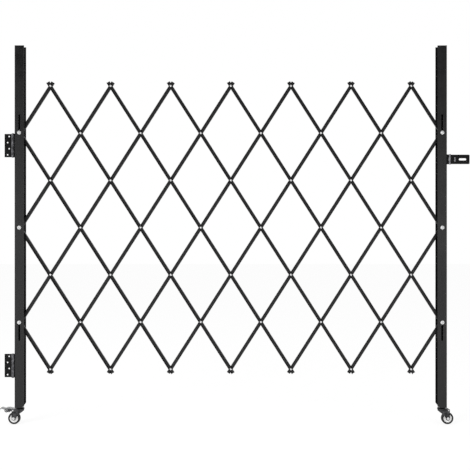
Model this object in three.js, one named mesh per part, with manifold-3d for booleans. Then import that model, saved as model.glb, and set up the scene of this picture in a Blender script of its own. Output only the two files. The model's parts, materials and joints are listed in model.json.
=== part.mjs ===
// Folding security gate: two upright steel channel posts on swivel casters, and between them a
// riveted lattice of small channel slats that opens and folds like scissors. Two butt hinges on the
// near post carry the whole gate, and the far post ends in a swinging hasp.
// Millimetres, +Z up. The front faces -Y, the near post is on the -X side, the floor is at z = 0,
// and the origin is under the middle of the whole gate, drawn out to its full width.
import * as THREE from "three";
import { mergeVertices } from "three/addons/utils/BufferGeometryUtils.js";
import Module from "manifold-3d";

const wasm = await Module();
wasm.setup();

// Lattice: driving sizes
const rivetPitch = 253.2;
const columnPitch = 136;
const rowSteps = 6;
const columnSteps = 14;
const slatWidth = 15.9;
const slatDepth = 9.5;
const slatWall = 1.5;
const slatBend = 2.2;
const slatTip = 15.5;
const foldedSlatGap = 3.6;
const webGap = 0.4;
const rivetShank = 2.6;
const rivetHead = 4.75;
const rivetHeadHeight = 2;
const rivetTailHeight = 1.6;

// Posts: driving sizes
const postFootHeight = 76;
const postWidth = 43;
const postDepth = 40;
const postWall = 2;
const postBend = 3.5;
const postHeadRoom = 45;
const postFootRoom = 37;
const footCutWidth = 13;
const footCutHeight = 17;
const slotWidth = 8.6;

// Post bolts: driving sizes, radii where a name says radius
const boltRadius = 3.9;
const boltWasherRadius = 8.5;
const boltWasherThickness = 1.8;
const boltDomeRadius = 6;
const boltDomeHeight = 3.2;
const spacerRadius = 5.5;
const boltNutFlats = 13;
const boltNutHeight = 6.5;
const boltTail = 2;

// Butt hinges: driving sizes
const hingeHeight = 105;
const hingeKnuckles = 5;
const hingeBarrelRadius = 7;
const hingeThickness = 3;
const hingeReach = 39;
const hingePinRadius = 3.8;
const hingeHeadRadius = 6.2;
const hingeHeadHeight = 2.2;
const hingeHoleRadius = 3.8;
const hingeHoleNear = 19;
const hingeHoleFar = 26;
const hingeSetBack = 3;
const upperHingeBelowBolt = 57.5;
const lowerHingeAboveFoot = 190;

// Hasp: driving sizes
const haspBelowBolt = 119.5;
const haspStandOff = 14.7;
const haspHeight = 44.5;
const haspKnuckles = 3;
const haspBarrelRadius = 4.2;
const haspThickness = 2.2;
const haspPinRadius = 2.2;
const haspHeadRadius = 3.6;
const haspHeadHeight = 1.4;
const haspBaseReach = 28;
const haspPlateHeight = 42.5;
const haspPlateReach = 89;
const haspCorner = 4;
const haspSlotCentre = 57;
const haspSlotLength = 33.5;
const haspSlotHeight = 9.5;
const haspPadLength = 52;
const haspPadHeight = 26;
const haspRibCentre = 23;
const haspRibHeight = 21;
const haspRibWidth = 6.5;
const haspEmboss = 1.2;

// Foot plates and casters: driving sizes
const footPlateThickness = 4;
const footPlateReach = 32;
const footPlateUpright = 28;
const footPlateSideGap = 1;
const stemRadius = 5;
const stemTail = 3.5;
const stemNutFlats = 16;
const stemNutHeight = 8;
const raceRadius = 20;
const raceHeight = 6;
const kingHeadRadius = 8.5;
const kingHeadHeight = 3;
const crownThickness = 3;
const wheelRadius = 27;
const wheelTrail = 27;
const tyreWidth = 20;
const tyreThickness = 6;
const tyreShoulder = 3;
const rimWidth = 17;
const hubRadius = 8;
const hubWidth = 21;
const rimRecess = 3.5;
const rimLip = 2.4;
const forkInside = 24;
const forkWall = 2.2;
const forkEndRadius = 9.5;
const forkToe = 36;
const crownToe = 25;
const forkHeel = 13;
const forkShoulderDrop = 11;
const forkHeelDrop = 8;
const axleRadius = 4;
const axleHeadFlats = 12;
const axleHeadHeight = 4.5;

// Brake pedal on the near caster: driving sizes
const pedalPivotOut = 31;
const pedalPivotDrop = 6.3;
const pedalPinRadius = 2;
const pedalPinHead = 3.6;
const pedalPinHeadHeight = 1.4;
const pedalWall = 1.6;
const pedalEarRadius = 5;
const pedalLength = 63;
const pedalRise = 15;
const pedalHoleRadius = 4.2;
const pedalTravelDegrees = 15;
const pedalShoeDegrees = 50;

// Running gap between neighbours, overrun of cuts, and the distance at which vertices join
const gap = 0.35;
const overrun = 2;
const weldDistance = 0.0005;

// Sides given to round forms
const rivetSides = 8;
const shankSides = 6;
const boltSides = 8;
const barrelSides = 12;
const smallSides = 8;
const wheelSides = 18;
const arcSteps = 2;

// Worked out from the sizes above
const openLean = Math.asin(columnPitch / rivetPitch);
const foldedLean = Math.asin((slatWidth + foldedSlatGap) / rivetPitch) / 2;
const rowPitch = rivetPitch * Math.cos(openLean);
const gateSpan = columnSteps * columnPitch;
const middleRow = rowSteps / 2;
const latticeReach = middleRow * rivetPitch + slatTip;
const middleHeight = postFootHeight + postFootRoom + latticeReach;
const postTopHeight = middleHeight + latticeReach + postHeadRoom;
const boltRise = 2 * rowPitch;
const boltTravel = 2 * rivetPitch * (Math.cos(foldedLean) - Math.cos(openLean));
const webInner = webGap / 2;
const webOuter = webInner + slatWall;
const postFace = postDepth / 2;
const postInside = postFace - postWall;
const postEdge = postWidth / 2;
const quarterTurn = Math.PI / 2;

// A closed geometry as a solid that can be cut and joined.
function solidOf(geometry) {
  const bare = new THREE.BufferGeometry();
  bare.setAttribute("position", geometry.getAttribute("position"));
  bare.setIndex(geometry.getIndex());
  const welded = mergeVertices(bare, weldDistance);
  const mesh = new wasm.Mesh({
    numProp: 3,
    vertProperties: welded.getAttribute("position").array,
    triVerts: new Uint32Array(welded.getIndex().array),
  });
  return new wasm.Manifold(mesh);
}

// A solid as a named mesh with its own material.
function piece(name, solid, finish) {
  const { vertProperties, triVerts } = solid.getMesh();
  const geometry = new THREE.BufferGeometry();
  geometry.setAttribute("position", new THREE.BufferAttribute(new Float32Array(vertProperties), 3));
  geometry.setIndex(new THREE.BufferAttribute(new Uint32Array(triVerts), 1));
  const faceted = geometry.toNonIndexed();
  faceted.computeVertexNormals();
  const mesh = new THREE.Mesh(faceted, new THREE.MeshStandardMaterial(finish));
  mesh.name = name;
  return mesh;
}

const blackPaint = { color: 0x26272a, roughness: 0.55, metalness: 0.2 };
const blackHinge = { color: 0x1b1b1d, roughness: 0.45, metalness: 0.3 };
const zincSteel = { color: 0xd2d4d6, roughness: 0.35, metalness: 0.9 };
const blackRubber = { color: 0x232325, roughness: 0.8, metalness: 0 };
const paleNylon = { color: 0xe4e5e6, roughness: 0.5, metalness: 0 };

// An outline through points, given as [x, y] pairs.
function outlineOf(points) {
  return new THREE.Shape(points.map(([x, y]) => new THREE.Vector2(x, y)));
}

// An outline with straight sides and half-round ends, along x unless upright.
function longHole(x, y, length, width, upright = false) {
  const radius = width / 2;
  const reach = length / 2 - radius;
  const turn = upright ? quarterTurn : 0;
  const [dx, dy] = upright ? [0, reach] : [reach, 0];
  const shape = new THREE.Shape();
  shape.absarc(x + dx, y + dy, radius, turn - quarterTurn, turn + quarterTurn, false);
  shape.absarc(x - dx, y - dy, radius, turn + quarterTurn, turn + 3 * quarterTurn, false);
  return shape;
}

function hexagon(flats) {
  const corner = flats / Math.sqrt(3);
  const angles = [0, 1, 2, 3, 4, 5].map((k) => (k * Math.PI) / 3);
  return outlineOf(angles.map((a) => [corner * Math.cos(a), corner * Math.sin(a)]));
}

// A channel section that opens toward +y, with the outside of its web on y = 0.
function channelSection(width, depth, wall, bend) {
  const half = width / 2;
  const shape = new THREE.Shape();
  shape.moveTo(-half, depth);
  shape.absarc(bend - half, bend, bend, 2 * quarterTurn, 3 * quarterTurn, false);
  shape.absarc(half - bend, bend, bend, 3 * quarterTurn, 4 * quarterTurn, false);
  shape.lineTo(half, depth);
  shape.lineTo(half - wall, depth);
  shape.lineTo(half - wall, wall);
  shape.lineTo(wall - half, wall);
  shape.lineTo(wall - half, depth);
  return shape;
}

// A slab between a front y and a back y, with its outline drawn across X and up Z.
function slab(outline, front, back, steps = arcSteps) {
  const options = { depth: back - front, bevelEnabled: false, curveSegments: steps };
  const geometry = new THREE.ExtrudeGeometry(outline, options);
  return solidOf(geometry.rotateX(quarterTurn).translate(0, back, 0));
}

// A bar between a low z and a high z, with its section drawn in X and Y.
function bar(section, low, high, steps = arcSteps) {
  const options = { depth: high - low, bevelEnabled: false, curveSegments: steps };
  return solidOf(new THREE.ExtrudeGeometry(section, options).translate(0, 0, low));
}

// A block between two corners.
function block([x0, y0, z0], [x1, y1, z1]) {
  const geometry = new THREE.BoxGeometry(x1 - x0, y1 - y0, z1 - z0);
  return solidOf(geometry.translate((x0 + x1) / 2, (y0 + y1) / 2, (z0 + z1) / 2));
}

// A round rod along Y, from a front y to a back y, through the point x, z.
function rod(radius, front, back, sides, x = 0, z = 0) {
  const geometry = new THREE.CylinderGeometry(radius, radius, back - front, sides);
  return solidOf(geometry.translate(x, (front + back) / 2, z));
}

// A round rod along Z, from a low z to a high z, through the point x, y.
function uprightRod(radius, low, high, sides, x = 0, y = 0) {
  const geometry = new THREE.CylinderGeometry(radius, radius, high - low, sides);
  return solidOf(geometry.rotateX(quarterTurn).translate(x, y, (low + high) / 2));
}

// A solid turned about Y from [radius, y] pairs, which go round it with the outside going up.
function turned(profile, sides) {
  const points = profile.map(([radius, y]) => new THREE.Vector2(radius, y));
  return solidOf(new THREE.LatheGeometry(points, sides));
}

// The same about Z, from [radius, z] pairs.
function turnedUpright(profile, sides) {
  const points = profile.map(([radius, z]) => new THREE.Vector2(radius, z));
  return solidOf(new THREE.LatheGeometry(points, sides).rotateX(quarterTurn));
}

// Lattice: a node is a crossing of two slats, at a column from the near post and a row from the top.
const isPostNode = ([column]) => column === 0 || column === columnSteps;

function nodePlace([column, row]) {
  return new THREE.Vector3(column * columnPitch, 0, middleHeight + (middleRow - row) * rowPitch);
}

// The nodes of the slat that rises to the right with column + row = sum, from its foot up.
function risingNodes(sum) {
  const nodes = [];
  for (let column = 0; column <= columnSteps; column++) {
    const row = sum - column;
    if (row >= 0 && row <= rowSteps) nodes.push([column, row]);
  }
  return nodes;
}

// The nodes of the slat that falls to the right with row - column = lead, from its foot up.
function fallingNodes(lead) {
  const nodes = [];
  for (let column = columnSteps; column >= 0; column--) {
    const row = column + lead;
    if (row >= 0 && row <= rowSteps) nodes.push([column, row]);
  }
  return nodes;
}

// Distances of a slat's nodes from its middle, along its length.
function nodeOffsets(nodes) {
  return nodes.map((node, k) => (k - (nodes.length - 1) / 2) * rivetPitch);
}

// A bare slat along Z, with the outside of its web at the layers' gap; side -1 is the front layer.
function bareSlat(nodes, side) {
  const half = ((nodes.length - 1) * rivetPitch) / 2 + slatTip;
  const section = channelSection(slatWidth, slatDepth, slatWall, slatBend);
  const options = { depth: 2 * half, bevelEnabled: false, curveSegments: 1 };
  const geometry = new THREE.ExtrudeGeometry(section, options).translate(0, webInner, -half);
  if (side < 0) geometry.rotateZ(Math.PI);
  return solidOf(geometry);
}

// A rivet at the origin: its head is on the front web, and its tail closes behind the rear web.
function rivet() {
  const shoulderShare = 0.7;
  const crownShare = 0.75;
  const seat = -webInner - slatWall / 2;
  const tail = webOuter + gap;
  const head = [
    [0, -webOuter - rivetHeadHeight],
    [shoulderShare * rivetHead, -webOuter - crownShare * rivetHeadHeight],
    [rivetHead, -webOuter],
    [rivetHead, seat],
    [0, seat],
  ];
  const closed = [
    [0, tail],
    [rivetHead, tail],
    [0, tail + rivetTailHeight],
  ];
  return turned(head, rivetSides)
    .add(turned(closed, rivetSides))
    .add(rod(rivetShank, seat, tail + rivetTailHeight / 4, shankSides));
}

function boltHole(z) {
  const radius = (boltRadius + gap) / Math.cos(Math.PI / smallSides);
  return rod(radius, -slatDepth, slatDepth, smallSides, 0, z);
}

// A front slat with its rivets, and a plain hole where a post bolt goes through.
function frontSlat(nodes) {
  let slat = bareSlat(nodes, -1);
  nodeOffsets(nodes).forEach((z, k) => {
    slat = isPostNode(nodes[k]) ? slat.subtract(boltHole(z)) : slat.add(rivet().translate([0, 0, z]));
  });
  return slat;
}

// A rear slat with a running hole round each rivet and post bolt.
function rearSlat(nodes) {
  const rivetHole = (rivetShank + gap) / Math.cos(Math.PI / shankSides);
  let slat = bareSlat(nodes, 1);
  nodeOffsets(nodes).forEach((z, k) => {
    const hole = isPostNode(nodes[k]) ? boltHole(z) : rod(rivetHole, 0, slatDepth, shankSides, 0, z);
    slat = slat.subtract(hole);
  });
  return slat;
}

// The whole lattice, numbered from the near post: falling slats in front, rising slats behind.
function lattice() {
  const group = new THREE.Group();
  const add = (name, solid, nodes, lean) => {
    const slat = piece(name, solid, blackPaint);
    const [foot, head] = [nodePlace(nodes[0]), nodePlace(nodes[nodes.length - 1])];
    slat.position.lerpVectors(foot, head, 1 / 2);
    slat.rotation.y = lean;
    group.add(slat);
  };
  const slatCount = (columnSteps + rowSteps) / 2;
  for (let k = 0; k < slatCount; k++) {
    const label = String(k + 1).padStart(2, "0");
    const rising = risingNodes(2 * k + 1);
    const falling = fallingNodes(rowSteps - 1 - 2 * k);
    add("rising_slat_" + label, rearSlat(rising), rising, openLean);
    add("falling_slat_" + label, frontSlat(falling), falling, -openLean);
  }
  return group;
}

// Post bolt with its washer face and its two spacers, which keep the slats in mid-post.
function postBolt() {
  const washerBack = -postFace - gap;
  const washerFront = washerBack - boltWasherThickness;
  const spacerIn = webOuter + gap;
  const spacerOut = postInside - gap;
  const tail = postFace + 2 * gap + boltWasherThickness + boltNutHeight + boltTail;
  const shoulderShare = 0.65;
  const profile = [
    [0, washerFront - boltDomeHeight],
    [shoulderShare * boltDomeRadius, washerFront - boltDomeHeight],
    [boltDomeRadius, washerFront],
    [boltWasherRadius, washerFront],
    [boltWasherRadius, washerBack],
    [boltRadius, washerBack],
    [boltRadius, -spacerOut],
    [spacerRadius, -spacerOut],
    [spacerRadius, -spacerIn],
    [boltRadius, -spacerIn],
    [boltRadius, spacerIn],
    [spacerRadius, spacerIn],
    [spacerRadius, spacerOut],
    [boltRadius, spacerOut],
    [boltRadius, tail],
    [0, tail],
  ];
  return turned(profile, boltSides);
}

// Flange nut behind the post.
function postNut() {
  const front = postFace + gap;
  const seat = front + boltWasherThickness;
  const bore = (boltRadius + gap) / Math.cos(Math.PI / smallSides);
  return rod(boltWasherRadius, front, seat, boltSides)
    .add(slab(hexagon(boltNutFlats), seat - boltWasherThickness / 2, seat + boltNutHeight))
    .subtract(rod(bore, front - overrun, seat + boltNutHeight + overrun, smallSides));
}

// The three bolts of one post, in the second, fourth and sixth row.
function postBolts(side, column) {
  const group = new THREE.Group();
  const places = { upper: 1, middle: middleRow, lower: rowSteps - 1 };
  for (const [place, row] of Object.entries(places)) {
    const bolt = piece([side, place, "bolt"].join("_"), postBolt(), zincSteel);
    const nut = piece([side, place, "nut"].join("_"), postNut(), zincSteel);
    for (const part of [bolt, nut]) {
      part.position.copy(nodePlace([column, row]));
      group.add(part);
    }
  }
  return group;
}

// Post: a channel that opens toward +X, with travel slots for the sliding bolts in both flanges.
function post() {
  const section = channelSection(postDepth, postWidth, postWall, postBend);
  const options = { depth: postTopHeight - postFootHeight, bevelEnabled: false, curveSegments: arcSteps };
  const geometry = new THREE.ExtrudeGeometry(section, options).rotateZ(-quarterTurn);
  let channel = solidOf(geometry.translate(-postEdge, 0, postFootHeight));
  const through = (outline) => slab(outline, -postFace - overrun, postFace + overrun, arcSteps + 1);
  const slotLength = boltTravel + 2 * (boltRadius + gap);
  const slotMiddle = boltRise + boltTravel / 2;
  for (const way of [-1, 1]) {
    const slot = longHole(0, middleHeight + way * slotMiddle, slotLength, slotWidth, true);
    channel = channel.subtract(through(slot));
  }
  const hole = (boltRadius + gap) / Math.cos(Math.PI / smallSides);
  channel = channel.subtract(
    rod(hole, -postFace - overrun, postFace + overrun, smallSides, 0, middleHeight),
  );
  const slope = footCutHeight / footCutWidth;
  const corner = outlineOf([
    [postEdge - footCutWidth - overrun / slope, postFootHeight - overrun],
    [postEdge + overrun, postFootHeight - overrun],
    [postEdge + overrun, postFootHeight + footCutHeight + overrun * slope],
  ]);
  return channel.subtract(through(corner));
}

// Foot plate: an angle inside the foot of the post that holds the caster's stem.
function footPlate() {
  const web = postWall + gap - postEdge;
  const half = postInside - footPlateSideGap;
  const foot = postFootHeight;
  const upright = outlineOf([
    [web, foot],
    [web + footPlateReach, foot],
    [web + footPlateReach, foot + footPlateThickness],
    [web + 2 * footPlateThickness, foot + footPlateThickness],
    [web + footPlateThickness, foot + 2 * footPlateThickness],
    [web + footPlateThickness, foot + footPlateUpright],
    [web, foot + footPlateUpright],
  ]);
  const bore = (stemRadius + gap) / Math.cos(Math.PI / smallSides);
  const hole = uprightRod(bore, foot - overrun, foot + footPlateThickness + overrun, smallSides);
  return slab(upright, -half, half).subtract(hole);
}

// Heights of the caster's stack, from the post's foot down.
const raceTop = postFootHeight - gap;
const crownTop = raceTop - raceHeight - gap;
const crownUnder = crownTop - crownThickness;

// Caster stem: king head under the fork's crown, race over it, and a stem up through the foot plate.
function casterStem() {
  const plateTop = postFootHeight + footPlateThickness;
  const top = plateTop + gap + stemNutHeight + stemTail;
  const kingTop = crownUnder - gap;
  const lipShare = 0.6;
  const profile = [
    [0, kingTop - kingHeadHeight],
    [lipShare * kingHeadRadius, kingTop - kingHeadHeight],
    [kingHeadRadius, kingTop],
    [stemRadius, kingTop],
    [stemRadius, crownTop + gap],
    [lipShare * raceRadius, crownTop + gap],
    [raceRadius, crownTop + gap],
    [raceRadius, crownTop + gap + lipShare * raceHeight],
    [lipShare * raceRadius, raceTop],
    [stemRadius, raceTop],
    [stemRadius, top - stemTail / 2],
    [lipShare * stemRadius, top],
    [0, top],
  ];
  return turnedUpright(profile, barrelSides);
}

function stemNut() {
  const low = postFootHeight + footPlateThickness + gap;
  const bore = (stemRadius + gap) / Math.cos(Math.PI / smallSides);
  return bar(hexagon(stemNutFlats), low, low + stemNutHeight).subtract(
    uprightRod(bore, low - overrun, low + stemNutHeight + overrun, smallSides),
  );
}

// Fork: a round crown with two blades that lean back to the axle, which trails toward +X here.
function fork() {
  const inner = forkInside / 2;
  const outer = inner + forkWall;
  const blade = new THREE.Shape();
  blade.moveTo(-forkHeel, crownTop);
  blade.lineTo(-forkHeel, crownUnder - forkHeelDrop);
  blade.quadraticCurveTo(
    wheelTrail - forkEndRadius - forkHeel / 2,
    wheelRadius + forkEndRadius + forkHeel / 2,
    wheelTrail - forkEndRadius,
    wheelRadius,
  );
  blade.absarc(wheelTrail, wheelRadius, forkEndRadius, 2 * quarterTurn, 4 * quarterTurn, false);
  blade.lineTo(forkToe, crownTop - forkShoulderDrop);
  blade.lineTo(forkToe, crownTop);
  const plate = outlineOf([
    [0, -outer],
    [crownToe, -outer],
    [crownToe, outer],
    [0, outer],
  ]);
  const axle = (axleRadius + gap) / Math.cos(Math.PI / smallSides);
  const pin = (pedalPinRadius + gap) / Math.cos(Math.PI / smallSides);
  const king = (stemRadius + gap) / Math.cos(Math.PI / smallSides);
  return uprightRod(raceRadius, crownUnder, crownTop, barrelSides)
    .add(bar(plate, crownUnder, crownTop))
    .add(slab(blade, -outer, -inner))
    .add(slab(blade, inner, outer))
    .subtract(uprightRod(king, crownUnder - overrun, crownTop + overrun, smallSides))
    .subtract(rod(axle, -outer - overrun, outer + overrun, smallSides, wheelTrail, wheelRadius))
    .subtract(
      rod(pin, -outer - overrun, outer + overrun, smallSides, pedalPivotOut, crownTop - pedalPivotDrop),
    );
}

// Tyre and rim are turned about the axle, with the wheel's middle at the origin.
function tyre() {
  const half = tyreWidth / 2;
  const inner = wheelRadius - tyreThickness;
  const shoulder = wheelRadius - tyreShoulder;
  const profile = [
    [inner, -rimWidth / 2],
    [shoulder, -half],
    [wheelRadius, tyreShoulder - half],
    [wheelRadius, half - tyreShoulder],
    [shoulder, half],
    [inner, rimWidth / 2],
    [inner, -rimWidth / 2],
  ];
  return turned(profile, wheelSides);
}

function rim() {
  const bore = (axleRadius + gap) / Math.cos(Math.PI / wheelSides);
  const outer = (wheelRadius - tyreThickness) * Math.cos(Math.PI / wheelSides) - gap;
  const lip = rimWidth / 2;
  const disc = lip - rimRecess;
  const hub = hubWidth / 2;
  const half = [
    [bore, hub],
    [hubRadius, hub],
    [hubRadius + rimLip, disc],
    [outer - 2 * rimLip, disc],
    [outer - rimLip, lip],
    [outer, lip],
  ];
  const mirrored = half.map(([radius, y]) => [radius, -y]);
  return turned([...mirrored, ...half.reverse(), mirrored[0]], wheelSides);
}

// Axle: a bolt across the fork, with a hexagon at each end.
function axle() {
  const seat = forkInside / 2 + forkWall + gap;
  const end = seat + axleHeadHeight;
  return rod(axleRadius, -end, end, smallSides)
    .add(slab(hexagon(axleHeadFlats), -end, -seat))
    .add(slab(hexagon(axleHeadFlats), seat, end));
}

// The tread's upper line, from the pivot outward, as shares of the pedal's length and rise.
const treadShares = [
  [-0.14, 0.57],
  [0.03, 0.66],
  [0.2, 0.88],
  [0.42, 0.95],
  [0.6, 0.68],
  [0.78, 1],
  [0.89, 0.88],
  [1, 0.36],
];

function treadSection() {
  const knots = treadShares.map(([out, up]) => new THREE.Vector2(out * pedalLength, up * pedalRise));
  const line = new THREE.SplineCurve(knots);
  const steps = knots.length + arcSteps;
  const upper = [];
  const lower = [];
  for (let k = 0; k <= steps; k++) {
    const point = line.getPoint(k / steps);
    const along = line.getTangent(k / steps);
    upper.push([point.x, point.y]);
    lower.unshift([point.x + along.y * pedalWall, point.y - along.x * pedalWall]);
  }
  return outlineOf([...upper, ...lower]);
}

// The shoe's lower corner, set so that a full press brings it to the tyre's tread.
function shoeCorner() {
  const shoeAngle = (pedalShoeDegrees * Math.PI) / 180;
  const press = (pedalTravelDegrees * Math.PI) / 180;
  const reach = wheelRadius + 2 * gap;
  const pressed = new THREE.Vector2(
    wheelTrail + reach * Math.cos(shoeAngle) - pedalPivotOut,
    wheelRadius + reach * Math.sin(shoeAngle) - (crownTop - pedalPivotDrop),
  );
  return pressed.rotateAround(new THREE.Vector2(), press);
}

// Points of a side ear, and the middle of its hole, as shares of the pedal's length and rise.
const earShares = {
  shoeFront: [0.2, -0.07],
  belly: [0.46, 0],
  heel: [0.6, -0.07],
  top: [
    [0.62, 0.6],
    [0.42, 0.86],
    [0.2, 0.8],
    [0, 0.6],
  ],
  hole: [0.47, 0.22],
  shoeTop: [0, 0.4],
};

function pedalPoint([out, up]) {
  return [out * pedalLength, up * pedalRise];
}

// An ear from its pivot, down to the shoe, along the belly to the heel and back under the tread.
function earOutline(shoe) {
  const ear = new THREE.Shape();
  ear.absarc(0, 0, pedalEarRadius, quarterTurn, 3 * quarterTurn, false);
  ear.lineTo(...pedalPoint(earShares.shoeFront));
  ear.lineTo(shoe.x, shoe.y);
  const [bellyOut] = pedalPoint(earShares.belly);
  ear.quadraticCurveTo(bellyOut, shoe.y, ...pedalPoint(earShares.heel));
  for (const point of earShares.top) ear.lineTo(...pedalPoint(point));
  return ear;
}

// Brake pedal about its pivot: two side ears, a formed tread over them and a shoe between them.
function brakePedal() {
  const outer = forkInside / 2 - gap;
  const inner = outer - pedalWall;
  const shoe = shoeCorner();
  const ear = earOutline(shoe);
  const hole = longHole(...pedalPoint(earShares.hole), 2 * pedalHoleRadius, 2 * pedalHoleRadius);
  const [, shoeTop] = pedalPoint(earShares.shoeTop);
  const shoePlate = outlineOf([
    [shoe.x, shoe.y],
    [shoe.x + pedalWall, shoe.y],
    [shoe.x + pedalWall, shoeTop],
    [shoe.x, shoeTop],
  ]);
  const pin = (pedalPinRadius + gap) / Math.cos(Math.PI / smallSides);
  return slab(ear, -outer, -inner)
    .add(slab(ear, inner, outer))
    .subtract(slab(hole, -outer - overrun, outer + overrun))
    .add(slab(shoePlate, -outer, outer))
    .add(slab(treadSection(), -outer, outer))
    .subtract(rod(pin, -outer - overrun, outer + overrun, smallSides));
}

function pedalPin() {
  const seat = forkInside / 2 + forkWall + gap;
  const end = seat + pedalPinHeadHeight;
  return rod(pedalPinRadius, -end, end, smallSides)
    .add(rod(pedalPinHead, -end, -seat, smallSides))
    .add(rod(pedalPinHead, seat, end, smallSides));
}

// A caster with its wheel trailing toward +X from the stem; only the near one has a brake.
function caster(side, braked) {
  const group = new THREE.Group();
  group.add(piece(side + "_caster_stem", casterStem(), blackHinge));
  group.add(piece(side + "_caster_nut", stemNut(), zincSteel));
  group.add(piece(side + "_caster_fork", fork(), blackHinge));
  const wheel = new THREE.Group();
  wheel.position.set(wheelTrail, 0, wheelRadius);
  wheel.add(piece(side + "_caster_tyre", tyre(), blackRubber));
  wheel.add(piece(side + "_caster_rim", rim(), paleNylon));
  wheel.add(piece(side + "_caster_axle", axle(), zincSteel));
  group.add(wheel);
  if (braked) {
    const pivot = new THREE.Group();
    pivot.position.set(pedalPivotOut, 0, crownTop - pedalPivotDrop);
    pivot.add(piece(side + "_brake_pedal", brakePedal(), zincSteel));
    pivot.add(piece(side + "_brake_pin", pedalPin(), zincSteel));
    group.add(pivot);
  }
  return group;
}

// A hinge leaf about its pin's axis: the plate runs toward -X and its back is flush with the
// barrel's back. It has every second knuckle, from the first or from the second.
function leaf(size, first, reach, holes = []) {
  const { height, knuckles, barrel, thickness, pin } = size;
  const step = height / knuckles;
  const low = -height / 2;
  const front = barrel - thickness;
  let solid = block([-reach, front, low], [-barrel - gap, barrel, low + height]);
  for (let k = first; k < knuckles; k += 2) {
    const from = low + k * step + (k > 0 ? gap / 2 : 0);
    const to = low + (k + 1) * step - (k < knuckles - 1 ? gap / 2 : 0);
    solid = solid.add(block([-barrel - gap - thickness, front, from], [0, barrel, to]));
    solid = solid.add(uprightRod(barrel, from, to, barrelSides));
  }
  const bore = (pin + gap) / Math.cos(Math.PI / barrelSides);
  solid = solid.subtract(uprightRod(bore, low - overrun, low + height + overrun, barrelSides));
  for (const { x, z, radius } of holes) {
    solid = solid.subtract(rod(radius, -overrun, barrel + overrun, smallSides, -x, z));
  }
  return solid;
}

// A hinge pin with a low round head at each end.
function hingePin(height, radius, headRadius, headHeight) {
  const seat = height / 2 + gap;
  const end = seat + headHeight;
  const crownShare = 0.75;
  const profile = [
    [0, -end],
    [crownShare * headRadius, -end],
    [headRadius, -seat],
    [radius, -seat],
    [radius, seat],
    [headRadius, seat],
    [crownShare * headRadius, end],
    [0, end],
  ];
  return turnedUpright(profile, smallSides);
}

const hingeSize = {
  height: hingeHeight,
  knuckles: hingeKnuckles,
  barrel: hingeBarrelRadius,
  thickness: hingeThickness,
  pin: hingePinRadius,
};
const haspSize = {
  height: haspHeight,
  knuckles: haspKnuckles,
  barrel: haspBarrelRadius,
  thickness: haspThickness,
  pin: haspPinRadius,
};

// Heights of a leaf's four screw holes from its middle, as shares of the hinge's height.
const holeHeightShares = [0.393, 0.131, -0.131, -0.393];

// The screw holes up a hinge leaf, in turn nearer to the pin and further from it.
function leafHoles() {
  return holeHeightShares.map((share, k) => ({
    x: k % 2 ? hingeHoleFar : hingeHoleNear,
    z: share * hingeHeight,
    radius: hingeHoleRadius,
  }));
}

// A butt hinge: one leaf runs out along the wall, the other lies on the side of the post.
function hinge(name, height) {
  const group = new THREE.Group();
  group.position.set(-postEdge - gap - hingeBarrelRadius, hingeSetBack - postFace, height);
  group.add(piece(name + "_wall_leaf", leaf(hingeSize, 0, hingeReach, leafHoles()), blackHinge));
  const gateLeaf = piece(name + "_gate_leaf", leaf(hingeSize, 1, hingeReach, leafHoles()), blackHinge);
  gateLeaf.rotation.z = -quarterTurn;
  group.add(gateLeaf);
  const pin = hingePin(hingeHeight, hingePinRadius, hingeHeadRadius, hingeHeadHeight);
  group.add(piece(name + "_pin", pin, blackHinge));
  return group;
}

// Hasp bracket about the hasp's pin: a short leaf out from the post, bent to lie on the post's side.
function haspBracket() {
  const back = haspBarrelRadius;
  const side = gap - haspStandOff;
  const half = haspHeight / 2;
  const base = block(
    [side, back - haspThickness, -half],
    [side + haspThickness, back - haspThickness + haspBaseReach, half],
  );
  return leaf(haspSize, 0, haspStandOff - gap).add(base);
}

// Hasp plate about its pin, reaching toward +X: a long slot for the staple in a raised pad.
function haspPlate() {
  const back = haspBarrelRadius;
  const front = back - haspThickness;
  const start = haspBarrelRadius + gap;
  const half = haspPlateHeight / 2;
  const outline = new THREE.Shape();
  outline.moveTo(start, -half);
  outline.lineTo(haspPlateReach - haspCorner, -half);
  outline.absarc(haspPlateReach - haspCorner, haspCorner - half, haspCorner, -quarterTurn, 0, false);
  outline.absarc(haspPlateReach - haspCorner, half - haspCorner, haspCorner, 0, quarterTurn, false);
  outline.lineTo(start, half);
  const step = haspHeight / haspKnuckles;
  const knuckle = uprightRod(haspBarrelRadius, gap / 2 - step / 2, step / 2 - gap / 2, barrelSides)
    .add(block([0, front, (gap - step) / 2], [start + haspThickness, back, (step - gap) / 2]));
  const pad = longHole(haspSlotCentre, 0, haspPadLength, haspPadHeight);
  const rib = longHole(haspRibCentre, 0, haspRibHeight, haspRibWidth, true);
  const slot = longHole(haspSlotCentre, 0, haspSlotLength, haspSlotHeight);
  const bore = (haspPinRadius + gap) / Math.cos(Math.PI / barrelSides);
  return slab(outline, front, back)
    .add(knuckle)
    .add(slab(pad, front - haspEmboss, back - haspThickness / 2))
    .add(slab(rib, front - haspEmboss, back - haspThickness / 2))
    .subtract(slab(slot, front - overrun, back + overrun))
    .subtract(uprightRod(bore, -haspHeight, haspHeight, barrelSides));
}

// The hasp on the far post, with its back in one plane with the wall leaves' back.
function hasp() {
  const group = new THREE.Group();
  const back = hingeSetBack - postFace + hingeBarrelRadius;
  const height = middleHeight + boltRise - haspBelowBolt;
  group.position.set(gateSpan + postEdge + haspStandOff, back - haspBarrelRadius, height);
  group.add(piece("hasp_bracket", haspBracket(), blackHinge));
  group.add(piece("hasp_plate", haspPlate(), blackHinge));
  const pin = hingePin(haspHeight, haspPinRadius, haspHeadRadius, haspHeadHeight);
  group.add(piece("hasp_pin", pin, blackHinge));
  return group;
}

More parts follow.
